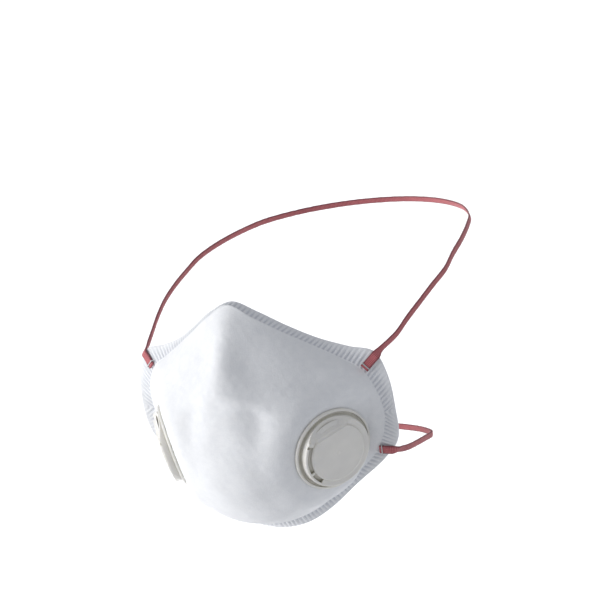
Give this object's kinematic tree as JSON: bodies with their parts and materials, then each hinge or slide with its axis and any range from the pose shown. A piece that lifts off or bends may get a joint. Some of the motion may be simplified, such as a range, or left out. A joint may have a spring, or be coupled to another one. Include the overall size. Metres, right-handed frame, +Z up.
{
  "type": "disposable dust mask",
  "caption": "Moulded cup dust respirator with ribbed weld flange, round exhalation valves on the cheeks and elastic head bands.",
  "frame": {"origin": "centre of the face opening, midway between the flange's two cheek edges", "axes": "+Y points back into the face, so the cup's front faces -Y; +X is the wearer's left; +Z is up"},
  "size_m": [0.1564, 0.2054, 0.176],
  "materials": {
    "shell_web": "matte moulded nonwoven, faint fibres",
    "filter_web": "soft melt-blown web",
    "lining_web": "soft smooth nonwoven",
    "nose_strip": "dull rolled strip",
    "seal_foam": "open-cell foam",
    "valve_plastic": "satin ivory polypropylene",
    "valve_silicone": "soft translucent silicone",
    "strap_elastic": "knitted elastic band",
    "staple_wire": "galvanised flat wire"
  },
  "bodies": {
    "mask": {"outer_shell": "shell_web", "filter_layer": "filter_web", "inner_shell": "lining_web", "nose_clip": "nose_strip", "nose_foam": "seal_foam", "left_valve_seat": "valve_plastic", "left_valve_cover": "valve_plastic", "left_valve_backing_ring": "valve_plastic", "right_valve_seat": "valve_plastic", "right_valve_cover": "valve_plastic", "right_valve_backing_ring": "valve_plastic", "upper_left_strap_end": "strap_elastic", "upper_right_strap_end": "strap_elastic", "lower_left_strap_end": "strap_elastic", "lower_right_strap_end": "strap_elastic", "upper_left_staple": "staple_wire", "upper_right_staple": "staple_wire", "lower_left_staple": "staple_wire", "lower_right_staple": "staple_wire"},
    "left_flap": {"left_valve_diaphragm": "valve_silicone"},
    "right_flap": {"right_valve_diaphragm": "valve_silicone"},
    "upper_band": {"upper_strap": "strap_elastic"},
    "lower_band": {"lower_strap": "strap_elastic"}
  },
  "joints": [
    {"name": "left_flap_lift", "type": "slide", "parent": "mask", "child": "left_flap", "axis": [0.8297, -0.4412, -0.342], "range_m": [0, 0.0012], "stiffness_N_per_m": 20, "springref_m": -0.0006},
    {"name": "right_flap_lift", "type": "slide", "parent": "mask", "child": "right_flap", "axis": [-0.8297, -0.4412, -0.342], "range_m": [0, 0.0012], "stiffness_N_per_m": 20, "springref_m": -0.0006},
    {"name": "upper_band_swing", "type": "hinge", "parent": "mask", "child": "upper_band", "pos_m": [0, -0.0063, 0.0345], "axis": [1, 0, 0], "range_deg": [0, 110]},
    {"name": "lower_band_swing", "type": "hinge", "parent": "mask", "child": "lower_band", "pos_m": [0, 0.0097, -0.0162], "axis": [1, 0, 0], "range_deg": [0, 85]}
  ]
}
